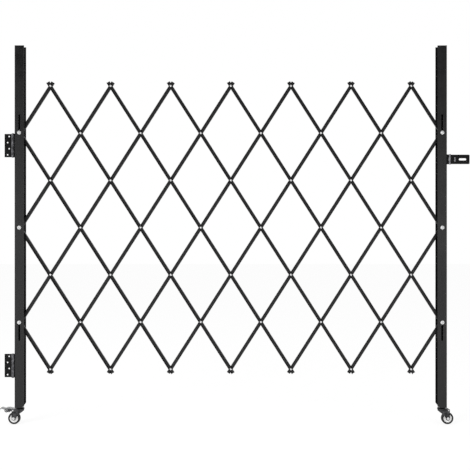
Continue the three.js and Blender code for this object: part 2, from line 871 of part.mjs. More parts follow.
// A post with its foot plate and caster, opening toward +X, with the wheel trailing away from it.
function postAssembly(side, braked) {
  const group = new THREE.Group();
  group.add(piece(side + "_post", post(), blackPaint));
  group.add(piece(side + "_foot_plate", footPlate(), blackPaint));
  const wheelUnit = caster(side, braked);
  wheelUnit.rotation.z = Math.PI;
  group.add(wheelUnit);
  return group;
}

const gate = new THREE.Group();
const nearPost = postAssembly("near", true);
const farPost = postAssembly("far", false);
farPost.position.x = gateSpan;
farPost.rotation.z = Math.PI;
gate.add(nearPost, farPost, lattice());
gate.add(postBolts("near", 0), postBolts("far", columnSteps));
gate.add(hinge("upper_hinge", middleHeight + boltRise - upperHingeBelowBolt));
gate.add(hinge("lower_hinge", postFootHeight + lowerHingeAboveFoot));
gate.add(hasp());

// The origin moves to the floor under the middle of the whole gate.
const middle = new THREE.Box3().setFromObject(gate, true).getCenter(new THREE.Vector3());
gate.position.set(-middle.x, -middle.y, 0);

export default gate;
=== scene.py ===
# %% [markdown]
# # A folding security gate
# Two black channel posts stand on casters, and a riveted lattice of small channel slats opens
# between them like scissors. The gate hangs on two butt hinges and closes with a hasp.
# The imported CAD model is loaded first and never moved: it says where everything is and what turns
# with what. This lesson dresses it: it keeps the posts of folded steel, gives them soft edges, and
# makes the small round and pressed pieces again with finer shapes and real finishes.

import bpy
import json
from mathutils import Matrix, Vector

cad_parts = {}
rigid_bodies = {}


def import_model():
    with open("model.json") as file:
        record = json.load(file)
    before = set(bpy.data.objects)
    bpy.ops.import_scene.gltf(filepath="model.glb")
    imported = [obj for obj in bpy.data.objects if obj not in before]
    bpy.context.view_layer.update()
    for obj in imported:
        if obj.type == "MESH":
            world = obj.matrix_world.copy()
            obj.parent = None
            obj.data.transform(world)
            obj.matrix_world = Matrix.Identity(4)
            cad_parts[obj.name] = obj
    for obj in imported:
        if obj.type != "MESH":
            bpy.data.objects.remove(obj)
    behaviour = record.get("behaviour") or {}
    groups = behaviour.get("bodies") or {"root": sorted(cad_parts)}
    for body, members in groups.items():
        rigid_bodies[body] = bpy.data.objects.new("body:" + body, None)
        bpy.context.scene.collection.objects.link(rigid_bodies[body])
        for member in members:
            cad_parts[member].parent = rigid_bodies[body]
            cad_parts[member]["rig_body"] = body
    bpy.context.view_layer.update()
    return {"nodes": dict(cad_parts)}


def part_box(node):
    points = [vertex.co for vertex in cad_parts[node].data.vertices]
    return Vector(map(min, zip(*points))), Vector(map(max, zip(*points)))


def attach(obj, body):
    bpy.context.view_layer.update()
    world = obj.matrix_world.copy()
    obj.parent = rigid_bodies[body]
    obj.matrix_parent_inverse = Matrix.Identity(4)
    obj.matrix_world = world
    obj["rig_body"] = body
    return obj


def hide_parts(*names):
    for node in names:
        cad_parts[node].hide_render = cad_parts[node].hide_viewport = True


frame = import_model()

# %% Modules and units
import json
import math

import bmesh
import bpy
from mathutils import Matrix, Vector

mm = 0.001
scene = bpy.context.scene


# %% [markdown]
# ## Where things are
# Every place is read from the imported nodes, so the pieces made here sit exactly on the gate. The
# middle of a bolt's box is the bolt's axis, and the lattice repeats evenly between the two posts:
# fourteen columns wide from post to post, and six rows high.

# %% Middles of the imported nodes
SIDES = ("near", "far")
COLUMN_STEPS = 14
ROW_STEPS = 6
ROWS_TO_UPPER_BOLT = 2


def middle(node):
    low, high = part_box(node)
    return (low + high) / 2


gate_middle = middle("near_post").y
post_axis = {side: middle(side + "_middle_bolt").x for side in SIDES}
bolt_height = {row: middle("near_" + row + "_bolt").z for row in ("upper", "middle", "lower")}
column_pitch = (post_axis["far"] - post_axis["near"]) / COLUMN_STEPS
row_pitch = (bolt_height["upper"] - bolt_height["middle"]) / ROWS_TO_UPPER_BOLT
half_lattice = ROW_STEPS / 2 * row_pitch
print("posts at", post_axis, "columns", round(column_pitch / mm, 2), "rows", round(row_pitch / mm, 2))


# %% [markdown]
# ## Camera
# The photograph looks straight at the front, from the height of the gate's middle. The width of the
# picture at the posts and the way their inner sides show give the distance, so the lens follows
# from those two numbers. Nothing is tilted, so the posts stay upright in the picture.

# %% Camera
EYE_DISTANCE = 3.6
EYE_HEIGHT = 0.8546
EYE_SIDE = 0.0035
PICTURE_WIDTH = 2.115
SENSOR_WIDTH = 36

front_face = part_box("near_post")[0].y
eye = bpy.data.objects.new("eye", bpy.data.cameras.new("eye"))
eye.location = (EYE_SIDE, front_face - EYE_DISTANCE, EYE_HEIGHT)
eye.rotation_euler = (math.pi / 2, 0, 0)
eye.data.sensor_width = SENSOR_WIDTH
eye.data.lens = SENSOR_WIDTH * EYE_DISTANCE / PICTURE_WIDTH
scene.collection.objects.link(eye)
scene.camera = eye
scene.view_settings.view_transform = "Standard"
print("lens", round(eye.data.lens, 1), "mm")


# %% [markdown]
# ## Floor
# A product picture is taken on white paper. One big flat sheet is enough, because the white world
# behind it has the same brightness. The paper is matt, and a little light of its own, for the
# camera only, brings it to full white while the gate's soft shadow stays.

# %% Paper floor
FLOOR_REACH = 20
GLOW_STRENGTH = 1.07
GLOW_SHARE = 0.75


def mixed(nodes, links, factor, first, second):
    """Mixes two shader nodes by a factor."""
    mix = nodes.new("ShaderNodeMixShader")
    links.new(factor, mix.inputs["Fac"])
    links.new(first.outputs[0], mix.inputs[1])
    links.new(second.outputs[0], mix.inputs[2])
    return mix


def paper_finish():
    finish = bpy.data.materials.new("white_paper")
    finish.use_nodes = True
    nodes, links = finish.node_tree.nodes, finish.node_tree.links
    paper = nodes["Principled BSDF"]
    paper.inputs["Base Color"].default_value = (0.95, 0.95, 0.95, 1)
    paper.inputs["Roughness"].default_value = 0.9
    paper.inputs["Specular IOR Level"].default_value = 0.1
    glow = nodes.new("ShaderNodeEmission")
    glow.inputs["Strength"].default_value = GLOW_STRENGTH
    seen = nodes.new("ShaderNodeLightPath")
    share = nodes.new("ShaderNodeMath")
    share.operation = "MULTIPLY"
    share.inputs[1].default_value = GLOW_SHARE
    links.new(seen.outputs["Is Camera Ray"], share.inputs[0])
    whole_finish = mixed(nodes, links, share.outputs[0], paper, glow)
    links.new(whole_finish.outputs[0], nodes["Material Output"].inputs["Surface"])
    return finish


sheet = bpy.data.meshes.new("paper_floor")
corners = [(x * FLOOR_REACH, y * FLOOR_REACH, 0) for x, y in ((-1, -1), (1, -1), (1, 1), (-1, 1))]
sheet.from_pydata(corners, [], [(0, 1, 2, 3)])
floor = bpy.data.objects.new("paper_floor", sheet)
sheet.materials.append(paper_finish())
scene.collection.objects.link(floor)
print("floor", 2 * FLOOR_REACH, "m across")


# %% [markdown]
# ## Light
# A white world lights the gate evenly from all sides. Shiny things mirror a studio of their own,
# built in the same world for glossy rays only: it is dark, with a bright band at eye height, a
# ceiling of soft boxes, a dark wall on the right, a wide soft box on the left and the white ground
# behind. That is why the black posts look darker at their tops, and why every small roll and rivet
# has a bright left side. Each part of that studio is laid over the ones before it.

# %% White world
WORLD_STRENGTH = 0.72
STUDIO_DARK = (0.015, 0.015, 0.015, 1)
# Each part's axis, where it begins and where it is whole, and its brightness.
MIRRORED = {
    "bright band": ("Z", 0.15, 0.01, 2.1),
    "ceiling": ("Z", 0.66, 0.9, 1.0),
    "dark wall on the right": ("X", 0.42, 0.66, 0.10),
    "soft box on the left": ("X", -0.55, -0.8, 2.4),
    "white ground behind": ("Y", -0.1, 0.2, 1.0),
}
# Places of the colour sockets on a Mix node.
COLOUR_A, COLOUR_B, COLOUR_OUT = 6, 7, 2


def mirrored_studio(nodes, links):
    """The colour that gloss mirrors in each direction."""
    place = nodes.new("ShaderNodeTexCoord")
    direction = nodes.new("ShaderNodeSeparateXYZ")
    links.new(place.outputs["Generated"], direction.inputs[0])
    studio = None
    for axis, start, full, grey in MIRRORED.values():
        extent = nodes.new("ShaderNodeMapRange")
        extent.interpolation_type = "SMOOTHSTEP"
        extent.inputs["From Min"].default_value = start
        extent.inputs["From Max"].default_value = full
        links.new(direction.outputs[axis], extent.inputs["Value"])
        mix = nodes.new("ShaderNodeMix")
        mix.data_type = "RGBA"
        links.new(extent.outputs[0], mix.inputs["Factor"])
        mix.inputs[COLOUR_A].default_value = STUDIO_DARK
        mix.inputs[COLOUR_B].default_value = (grey, grey, grey, 1)
        if studio:
            links.new(studio, mix.inputs[COLOUR_A])
        studio = mix.outputs[COLOUR_OUT]
    return studio


def white_light(nodes, strength=1.0):
    light = nodes.new("ShaderNodeBackground")
    light.inputs["Color"].default_value = (1, 1, 1, 1)
    light.inputs["Strength"].default_value = strength
    return light


def white_world():
    world = bpy.data.worlds.new("white_studio")
    world.use_nodes = True
    nodes, links = world.node_tree.nodes, world.node_tree.links
    nodes.clear()
    ray = nodes.new("ShaderNodeLightPath")
    mirror = nodes.new("ShaderNodeBackground")
    links.new(mirrored_studio(nodes, links), mirror.inputs["Color"])
    lit = mixed(nodes, links, ray.outputs["Is Glossy Ray"], white_light(nodes, WORLD_STRENGTH), mirror)
    straight = nodes.new("ShaderNodeMath")
    straight.operation = "MAXIMUM"
    links.new(ray.outputs["Is Camera Ray"], straight.inputs[0])
    links.new(ray.outputs["Is Transmission Ray"], straight.inputs[1])
    whole_world = mixed(nodes, links, straight.outputs[0], lit, white_light(nodes))
    out = nodes.new("ShaderNodeOutputWorld")
    links.new(whole_world.outputs[0], out.inputs["Surface"])
    return world


scene.world = white_world()
print("studio parts", list(MIRRORED))

# %% [markdown]
# Two large soft lamps, one above left and one in front on the right, give the round pieces a bright
# and a dark side. Gloss doesn't see them, because the studio above is all that it mirrors.

# %% Soft lamps
LAMP_SIZE = 2.4
# Each lamp's place, aim and watts.
LAMPS = {
    "lamp_above_left": ((-2.6, -3.2, 3.2), (0, 0, 0.9), 90),
    "lamp_front_right": ((3.4, -3.6, 1.6), (0, 0, 0.8), 45),
}

for name, (place, aim, watts) in LAMPS.items():
    lamp = bpy.data.objects.new(name, bpy.data.lights.new(name, "AREA"))
    lamp.data.size = LAMP_SIZE
    lamp.data.energy = watts
    lamp.visible_glossy = False
    lamp.visible_camera = False
    lamp.location = place
    lamp.rotation_euler = (Vector(aim) - Vector(place)).to_track_quat("-Z", "Y").to_euler()
    scene.collection.objects.link(lamp)
print("lamps", list(LAMPS))


# %% [markdown]
# ## Finishes
# A finish is a small network of nodes that feeds one Principled shader. The same few parts come
# back in each: a noise of the right size for the colour and the roughness, and a finer one as
# bumps. The texture space is in metres, so a noise with scale 800 has grains of about a millimetre.
# A noise stays mostly between 0.3 and 0.7, so those ends are spread to the values wanted.

# %% Helpers for finishes
NOISE_ENDS = (0.3, 0.7)


def new_finish(name, metal=0.0, gloss=0.5):
    finish = bpy.data.materials.new(name)
    finish.use_nodes = True
    shader = finish.node_tree.nodes["Principled BSDF"]
    shader.inputs["Metallic"].default_value = metal
    shader.inputs["Specular IOR Level"].default_value = gloss
    return finish, finish.node_tree.nodes, finish.node_tree.links, shader


def grain(nodes, links, scale, detail, stretch=(1, 1, 1)):
    place = nodes.new("ShaderNodeTexCoord")
    stretched = nodes.new("ShaderNodeMapping")
    stretched.inputs["Scale"].default_value = stretch
    noise = nodes.new("ShaderNodeTexNoise")
    noise.inputs["Scale"].default_value = scale
    noise.inputs["Detail"].default_value = detail
    links.new(place.outputs["Object"], stretched.inputs["Vector"])
    links.new(stretched.outputs["Vector"], noise.inputs["Vector"])
    return noise.outputs["Fac"]


def tint(nodes, links, factor, dark, light, shader, ends=NOISE_ENDS):
    ramp = nodes.new("ShaderNodeValToRGB")
    first, last = ramp.color_ramp.elements
    first.position, first.color = ends[0], (*dark, 1)
    last.position, last.color = ends[1], (*light, 1)
    links.new(factor, ramp.inputs["Fac"])
    links.new(ramp.outputs["Color"], shader.inputs["Base Color"])


def roughen(nodes, links, factor, rough, shader):
    span = nodes.new("ShaderNodeMapRange")
    span.inputs["From Min"].default_value, span.inputs["From Max"].default_value = NOISE_ENDS
    span.inputs["To Min"].default_value, span.inputs["To Max"].default_value = rough
    links.new(factor, span.inputs["Value"])
    links.new(span.outputs["Result"], shader.inputs["Roughness"])


def bumps(nodes, links, factor, depth, strength, shader):
    bump = nodes.new("ShaderNodeBump")
    bump.inputs["Distance"].default_value = depth * mm
    bump.inputs["Strength"].default_value = strength
    links.new(factor, bump.inputs["Height"])
    links.new(bump.outputs["Normal"], shader.inputs["Normal"])


# %% [markdown]
# ### Powder coat
# The posts and slats are folded steel under black powder coat: a satin skin with a fine orange
# peel. Long faint streaks run up the drawn steel of the posts, and dust dulls it in patches.

# %% Black powder coat
# Each noise's scale and detail.
COAT_PATCHES = (14, 4)
COAT_STREAKS = (260, 2)
ORANGE_PEEL = (650, 2)
PEEL_DEPTH, PEEL_STRENGTH = 0.12, 0.3
COAT_ENDS = (0.4, 0.6)
# Places of the number sockets on a Mix node.
NUMBER_A, NUMBER_B = 2, 3


def powder_coat(name, dark, light, gloss, rough, stretch):
    finish, nodes, links, shader = new_finish(name, gloss=gloss)
    patches = grain(nodes, links, *COAT_PATCHES)
    average = nodes.new("ShaderNodeMix")
    average.inputs["Factor"].default_value = 0.5
    links.new(patches, average.inputs[NUMBER_A])
    links.new(grain(nodes, links, *COAT_STREAKS, stretch), average.inputs[NUMBER_B])
    tint(nodes, links, average.outputs[0], dark, light, shader, COAT_ENDS)
    roughen(nodes, links, patches, rough, shader)
    bumps(nodes, links, grain(nodes, links, *ORANGE_PEEL), PEEL_DEPTH, PEEL_STRENGTH, shader)
    return finish


post_coat = powder_coat(
    "post_powder_coat", dark=(0.0040, 0.0040, 0.0043), light=(0.0070, 0.0070, 0.0074),
    gloss=0.42, rough=(0.24, 0.34), stretch=(1, 1, 0.02),
)
slat_coat = powder_coat(
    "slat_powder_coat", dark=(0.0036, 0.0036, 0.0039), light=(0.0062, 0.0062, 0.0066),
    gloss=0.40, rough=(0.36, 0.48), stretch=(1, 1, 1),
)
print("finishes", post_coat.name, slat_coat.name)


# %% [markdown]
# ### Clouded finishes
# All other finishes follow one recipe. Clouds change the colour and the roughness together, and a
# fine skin stands up as bumps. What differs is the size of the clouds, the depth of the skin and
# how metallic the surface is.

# %% Recipe for a clouded finish
def clouded(
    name, dark, light, rough, clouds, skin, depth, strength, metal=0.0, gloss=0.5, ends=NOISE_ENDS
):
    """Clouds and skin are each a noise's scale and detail, and depth is the skin's height in mm."""
    finish, nodes, links, shader = new_finish(name, metal, gloss)
    cloud = grain(nodes, links, *clouds)
    tint(nodes, links, cloud, dark, light, shader, ends)
    roughen(nodes, links, cloud, rough, shader)
    bumps(nodes, links, grain(nodes, links, *skin), depth, strength, shader)
    return finish


# %% [markdown]
# ### Black lacquers
# Hinges, hasp and caster forks are stamped steel with a thinner, glossier black lacquer. It shows light
# scratches from the press tools. Where the steel is rolled round a pin, the lacquer is rubbed thin and
# the dark metal shines through it, so the rolls get a finish of their own. On the hasp, the rolls, rib
# and pin get a brighter copy of that finish, which is a painted highlight. The forks are duller and
# greyer, with clouds of dust on them.

# %% Black lacquers
# How much bluer than grey the blacks are.
COOL = 1.06


def black_lacquer(name, dark, light, gloss, rough, metal=0.0):
    dark, light = ((grey, grey, grey * COOL) for grey in (dark, light))
    return clouded(
        name, dark, light, rough, clouds=(90, 5), skin=(420, 3, (1, 1, 0.08)),
        depth=0.08, strength=0.5, metal=metal, gloss=gloss, ends=(0.38, 0.62),
    )


lacquer = black_lacquer("black_lacquer", 0.0020, 0.0042, gloss=0.16, rough=(0.24, 0.38))
rubbed_lacquer = black_lacquer("rubbed_lacquer", 0.065, 0.19, gloss=0.5, rough=(0.26, 0.4), metal=1.0)
# A brighter copy of the rubbed lacquer for the hasp's rolls, rib and pin: a painted highlight.
painted_highlight_lacquer = black_lacquer("painted_highlight_lacquer", 0.19, 0.34, gloss=0.5, rough=(0.24, 0.36), metal=1.0)
fork_lacquer = black_lacquer("fork_lacquer", 0.010, 0.062, gloss=0.3, rough=(0.34, 0.55))
print("finishes", len(bpy.data.materials))


# %% [markdown]
# ### Zinc plate
# Bolts, nuts, rivets and the brake's tread are zinc plated: a bright metal with a soft, slightly cloudy
# mirror. The rivets are less metallic and near white. This is partly the matt plating of small tumbled
# parts and partly a painted highlight, so they look pale from every side.

# %% Bright zinc
def bright_zinc(name, dark, light, rough, cloud_scale, metal):
    return clouded(
        name, dark, light, rough, clouds=(cloud_scale, 4), skin=(1400, 3),
        depth=0.04, strength=0.6, metal=metal,
    )


bolt_zinc = bright_zinc(
    "bolt_zinc", (0.62, 0.63, 0.64), (0.86, 0.86, 0.85), rough=(0.22, 0.36), cloud_scale=260, metal=0.65
)
# The rivets' near-white colour is partly pale plating, partly a painted highlight.
rivet_zinc_painted_highlight = bright_zinc(
    "rivet_zinc_painted_highlight", (0.84, 0.84, 0.84), (0.97, 0.97, 0.965), rough=(0.26, 0.42), cloud_scale=500, metal=0.2
)
tread_zinc = bright_zinc(
    "pedal_zinc", (0.27, 0.275, 0.28), (0.44, 0.44, 0.445), rough=(0.34, 0.5), cloud_scale=120, metal=0.8
)
print("finishes", len(bpy.data.materials))


# %% [markdown]
# ### Rubber and nylon
# The tyre is black rubber, dull and a little dusty, with a skin that is rough on the scale of a
# tenth of a millimetre. The wheel inside it is moulded from white nylon, smooth, with faint flow
# marks.

# %% Tyre rubber and wheel nylon
rubber = clouded(
    "tyre_rubber", (0.006, 0.006, 0.0065), (0.022, 0.022, 0.0225), rough=(0.62, 0.85),
    clouds=(180, 5), skin=(2400, 3), depth=0.06, strength=0.7,
)
nylon = clouded(
    "wheel_nylon", (0.91, 0.91, 0.90), (0.96, 0.96, 0.96), rough=(0.3, 0.45),
    clouds=(70, 3), skin=(900, 2), depth=0.03, strength=0.5, gloss=0.8,
)
print("finishes", len(bpy.data.materials))


# %% [markdown]
# ## The folded steel: posts, foot plates and slats
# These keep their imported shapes, because they are right. Only their edges are too sharp: real
# folded and cut steel catches light on a small round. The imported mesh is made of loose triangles,
# so a small geometry network welds them and marks what is smooth, and a bevel then rounds the
# edges. Weighted normals let the big flat faces stay flat in the light.

# %% Weld and smooth
WELD_DISTANCE = 0.004
BEND_ANGLE = 40


def weld_and_smooth():
    tree = bpy.data.node_groups.new("weld_and_smooth", "GeometryNodeTree")
    tree.interface.new_socket("Geometry", in_out="INPUT", socket_type="NodeSocketGeometry")
    tree.interface.new_socket("Geometry", in_out="OUTPUT", socket_type="NodeSocketGeometry")
    nodes, links = tree.nodes, tree.links
    start, end = nodes.new("NodeGroupInput"), nodes.new("NodeGroupOutput")
    loose = nodes.new("GeometryNodeRemoveAttribute")
    loose.inputs["Name"].default_value = "custom_normal"
    weld = nodes.new("GeometryNodeMergeByDistance")
    weld.inputs["Distance"].default_value = WELD_DISTANCE * mm
    faces = nodes.new("GeometryNodeSetShadeSmooth")
    faces.domain = "FACE"
    bend = nodes.new("GeometryNodeInputMeshEdgeAngle")
    flat = nodes.new("FunctionNodeCompare")
    flat.operation = "LESS_THAN"
    flat.inputs["B"].default_value = math.radians(BEND_ANGLE)
    edges = nodes.new("GeometryNodeSetShadeSmooth")
    edges.domain = "EDGE"
    links.new(start.outputs[0], loose.inputs[0])
    links.new(loose.outputs[0], weld.inputs["Geometry"])
    links.new(weld.outputs[0], faces.inputs[0])
    links.new(faces.outputs[0], edges.inputs[0])
    links.new(bend.outputs["Unsigned Angle"], flat.inputs["A"])
    links.new(flat.outputs[0], edges.inputs["Shade Smooth"])
    links.new(edges.outputs[0], end.inputs[0])
    return tree


welded = weld_and_smooth()
print("network nodes", len(welded.nodes))

# %% Soften edges
POST_EDGE = 0.35
FOOT_PLATE_EDGE = 0.3
SLAT_EDGE = 0.2


def keep_flat(piece):
    """Lets the big faces of a piece lead its shading."""
    even = piece.modifiers.new("even", "WEIGHTED_NORMAL")
    even.keep_sharp = True


def soften(steel, finish, edge):
    """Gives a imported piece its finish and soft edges, in mm."""
    steel.data.materials[0] = finish
    steel.modifiers.new("weld", "NODES").node_group = welded
    bevel = steel.modifiers.new("round", "BEVEL")
    bevel.width = edge * mm
    bevel.segments = 2
    bevel.angle_limit = math.radians(BEND_ANGLE)
    keep_flat(steel)


for side in SIDES:
    soften(frame["nodes"][side + "_post"], post_coat, POST_EDGE)
    soften(frame["nodes"][side + "_foot_plate"], post_coat, FOOT_PLATE_EDGE)
print("posts and foot plates softened")


# %% [markdown]
# The free ends of the slats, above the top row of rivets and under the bottom row, stand out a
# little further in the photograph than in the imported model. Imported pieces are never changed, so
# each slat is copied, the end faces of the copy are moved out along the slat, and the copy stands
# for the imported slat.

# %% Slats with their full ends
END_GROWTH = 5
# Where an end begins, beyond the outer row of rivets.
END_ZONE = 7


def full_slat(name):
    packed = frame["nodes"][name]
    slat = bpy.data.objects.new(name + "_full", packed.data.copy())
    scene.collection.objects.link(slat)
    rise = row_pitch if "rising" in name else -row_pitch
    upward = Vector((column_pitch, 0, rise)).normalized() * math.copysign(END_GROWTH * mm, rise)
    for corner in slat.data.vertices:
        above = corner.co.z - bolt_height["middle"]
        if abs(above) > half_lattice + END_ZONE * mm:
            corner.co += upward * math.copysign(1, above)
    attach(slat, packed["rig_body"])
    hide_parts(name)
    return slat


slats = sorted(name for name in frame["nodes"] if "_slat_" in name)
for name in slats:
    soften(full_slat(name), slat_coat, SLAT_EDGE)
print("slats", len(slats))


# %% [markdown]
# ## Shape makers
# Nearly all the small pieces are one of two kinds: turned on a lathe, or cut from sheet. The first
# spins a line of points round an axis. Many turned pieces are the same at both ends, so only half
# of their line is written down. The sizes of all forms are in millimetres.

# %% Turned forms
MERGE_DISTANCE = 0.0005


def turned(rows, steps=40):
    """Spins (radius, height) points about Z."""
    form = bmesh.new()
    line = [form.verts.new((radius * mm, 0, height * mm)) for radius, height in rows]
    edges = [form.edges.new(pair) for pair in zip(line, line[1:])]
    bmesh.ops.spin(
        form, geom=line + edges, cent=(0, 0, 0), axis=(0, 0, 1),
        angle=2 * math.pi, steps=steps, use_merge=True,
    )
    bmesh.ops.remove_doubles(form, verts=form.verts, dist=MERGE_DISTANCE * mm)
    bmesh.ops.recalc_face_normals(form, faces=form.faces)
    return form


def closed(rows):
    """A line that comes back to its start, for a ring."""
    return rows + rows[:1]


def both_ways(half):
    """A line and its mirror image below it."""
    return half + [(radius, -height) for radius, height in reversed(half)]


# %% [markdown]
# The second kind fills an outline, pulls it to its thickness and rounds its edges. Outlines are made
# of corners and arcs, and may have holes.

# %% Outlines
def arc(x, y, radius, start, end, steps=10):
    angles = [math.radians(start + (end - start) * k / steps) for k in range(steps + 1)]
    return [(x + radius * math.cos(a), y + radius * math.sin(a)) for a in angles]


def long_hole(x, y, length, width, steps=12):
    reach = (length - width) / 2
    right_end = arc(x + reach, y, width / 2, -90, 90, steps)
    return right_end + arc(x - reach, y, width / 2, 90, 270, steps)


def round_hole(x, y, radius, steps=24):
    return arc(x, y, radius, 0, 360 - 360 / steps, steps - 1)


# %% Cut sheet
FLAT_ANGLE = 0.01
CUT_ANGLE = 50


def round_edges(form, edge, angle=CUT_ANGLE):
    """Rounds the edges of a form where its faces meet by more than an angle."""
    sharp = [side for side in form.edges if side.calc_face_angle(0) > math.radians(angle)]
    bmesh.ops.bevel(form, geom=sharp, offset=edge * mm, segments=2, profile=0.5, affect="EDGES")


def pressed(outline, low, high, holes=(), edge=0.25):
    """Fills an outline of (x, y) points, with holes, between two heights along Z."""
    form = bmesh.new()
    edges = []
    for ring in (outline, *holes):
        corners = [form.verts.new((x * mm, y * mm, low * mm)) for x, y in ring]
        edges += [form.edges.new(pair) for pair in zip(corners, corners[1:] + corners[:1])]
    bmesh.ops.triangle_fill(form, edges=edges, use_beauty=True, normal=(0, 0, 1))
    bmesh.ops.dissolve_limit(form, angle_limit=FLAT_ANGLE, verts=form.verts, edges=form.edges)
    pulled = bmesh.ops.extrude_face_region(form, geom=form.faces[:])["geom"]
    raised = [part for part in pulled if isinstance(part, bmesh.types.BMVert)]
    bmesh.ops.translate(form, verts=raised, vec=(0, 0, (high - low) * mm))
    bmesh.ops.recalc_face_normals(form, faces=form.faces)
    if edge:
        round_edges(form, edge)
    return form


# %% [markdown]
# Forms are then moved and turned, put together, or cut by one another with Blender's Boolean. Sheet
# is drawn lying flat, and one quarter turn about X stands it upright. The same turn lets the end of
# a lathe form face the front.

# %% Places and turns
def shift(x, y, z):
    return Matrix.Translation((x * mm, y * mm, z * mm))


def rotation(degrees, axis):
    return Matrix.Rotation(math.radians(degrees), 4, axis)


def in_gate(x, z):
    """A place in the gate's middle plane, in metres."""
    return Matrix.Translation((x, gate_middle, z))


# Turns +Z to the front, -Y, and +Y up.
facing_front = rotation(90, "X")
half_turn = rotation(180, "Z")


def placed(form, matrix):
    copy = form.copy()
    bmesh.ops.transform(copy, matrix=matrix, verts=copy.verts)
    return copy


# %% Join, rub and cut forms
def whole(*forms):
    """Puts forms together as one."""
    together = bmesh.new()
    for form in forms:
        mesh = bpy.data.meshes.new("part")
        form.to_mesh(mesh)
        together.from_mesh(mesh)
        bpy.data.meshes.remove(mesh)
    return together


def rubbed(form):
    """Gives a form the second finish of its piece."""
    for face in form.faces:
        face.material_index = 1
    return form


def cut_by(form, tool, way="DIFFERENCE"):
    """Cuts a form with another, or keeps what they share with way INTERSECT."""
    stock = []
    for part in (form, tool):
        mesh = bpy.data.meshes.new("stock")
        part.to_mesh(mesh)
        stock.append(bpy.data.objects.new("stock", mesh))
        scene.collection.objects.link(stock[-1])
    cut = stock[0].modifiers.new("cut", "BOOLEAN")
    cut.operation, cut.object, cut.solver = way, stock[1], "EXACT"
    result = bmesh.new()
    result.from_object(stock[0], bpy.context.evaluated_depsgraph_get())
    for part in stock:
        bpy.data.meshes.remove(part.data)
    return result


# %% [markdown]
# A form becomes a piece of the gate by its name, its finish and the body that it moves with. Where
# a piece has two finishes, its rubbed faces take the second.

# %% Make a finished piece
CREASE_ANGLE = 35


def make(name, form, finish, body, matrix, replaces=()):
    """Turns a form into a named piece that rides on a body of the gate."""
    mesh = bpy.data.meshes.new(name)
    form.to_mesh(mesh)
    mesh.transform(matrix)
    for coat in finish if isinstance(finish, tuple) else (finish,):
        mesh.materials.append(coat)
    mesh.shade_smooth()
    mesh.set_sharp_from_angle(angle=math.radians(CREASE_ANGLE))
    piece = bpy.data.objects.new(name, mesh)
    scene.collection.objects.link(piece)
    keep_flat(piece)
    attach(piece, body)
    if replaces:
        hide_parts(*replaces)


# %% [markdown]
# ## Rivets
# A rivet pins the two slats at every crossing inside the lattice: a low round head on the front
# slat, a shank through both and a closed tail behind. All are alike, so the form is spun once and
# set at each crossing, on the front slat that it turns with. A front slat falls by one row in each
# column, and the next one starts two columns further.

# %% Rivet form
RIVET_LINE = [
    (0, 3.85), (1.6, 3.81), (2.8, 3.64), (3.7, 3.3), (4.35, 2.8), (4.75, 2.2), (4.92, 1.74),
    (4.92, 1.6), (2.65, 1.6), (2.65, -1.98), (4.86, -1.98), (4.86, -2.12), (4.5, -2.62), (3.6, -3.22),
    (2.1, -3.66), (0, -3.84),
]
rivet_form = turned(RIVET_LINE, 28)
print("rivet faces", len(rivet_form.faces))

# %% Set the rivets
# The column where the first front slat would cross the top row.
FIRST_TOP_COLUMN = -5
COLUMNS_TO_NEXT = 2

rivets = 0
falling_slats = [name for name in slats if "falling" in name]
for number, slat in enumerate(falling_slats, start=1):
    top_column = FIRST_TOP_COLUMN + COLUMNS_TO_NEXT * (number - 1)
    for column in range(1, COLUMN_STEPS):
        row = column - top_column
        if not 0 <= row <= ROW_STEPS:
            continue
        x = post_axis["near"] + column * column_pitch
        z = bolt_height["middle"] + half_lattice - row * row_pitch
        label = "rivet_%02d_%d" % (number, row)
        make(label, rivet_form, rivet_zinc_painted_highlight, slat, in_gate(x, z) @ facing_front)
        rivets += 1
print("rivets", rivets)


# %% [markdown]
# ## Post bolts
# Three bolts on each post hold the lattice, and the upper and lower ones slide in slots when the
# gate folds. Each has a low button head with a hexagon socket over a plain washer, a flange nut
# behind, and two sleeves inside the post that keep the slats in the middle. The socket is cut by a
# six-sided plug, and the thread is ridges on the lathe line.

# %% Button head, washer and sleeve
BOLT_RADIUS = 3.9
THREAD_PITCH = 1.25
# Corners of a thread's ridge: how far down as a share of the pitch, and how deep.
RIDGE = ((0, 0), (0.15, 0), (0.5, 1), (0.65, 1))
BUTTON_HEAD = [
    (0, 25.2), (3.1, 25.2), (4.1, 24.75), (4.7, 24.0),
    (5.3, 23.3), (5.75, 22.6), (5.8, 22.2), (BOLT_RADIUS, 22.2),
]
BOLT_TIP = [(3.4, -30.4), (3.0, -30.95), (0, -30.95)]
SOCKET_FLATS = 5
SOCKET_FLOOR = 23.2
WASHER_LINE = [
    (3.95, 22.15), (8.15, 22.15), (8.42, 22.05), (8.5, 21.8),
    (8.5, 20.7), (8.42, 20.42), (8.15, 20.36), (3.95, 20.36),
]
SLEEVE_LINE = [(3.98, 2.1), (5.3, 2.1), (5.5, 2.3), (5.5, 17.4), (5.3, 17.6), (3.98, 17.6)]


def hexagon(flats):
    corner = flats / math.sqrt(3)
    return [(corner * math.cos(k * math.pi / 3), corner * math.sin(k * math.pi / 3)) for k in range(6)]


def thread(radius, depth, start, end):
    """Ridges of a screw thread, going down from start to end."""
    ridges = range(int((start - end) / THREAD_PITCH))
    return [
        (radius - depth * sunk, start - (k + down) * THREAD_PITCH) for k in ridges for down, sunk in RIDGE
    ]


bolt_stock = turned(BUTTON_HEAD + thread(BOLT_RADIUS, 0.5, -19.5, -30) + BOLT_TIP, 36)
bolt_form = cut_by(bolt_stock, pressed(hexagon(SOCKET_FLATS), SOCKET_FLOOR, 27, edge=0))
washer_form = turned(closed(WASHER_LINE), 40)
sleeve_form = turned(closed(SLEEVE_LINE), 32)
print("bolt faces", len(bolt_form.faces))

# %% Flange nut
NUT_FLATS = 13
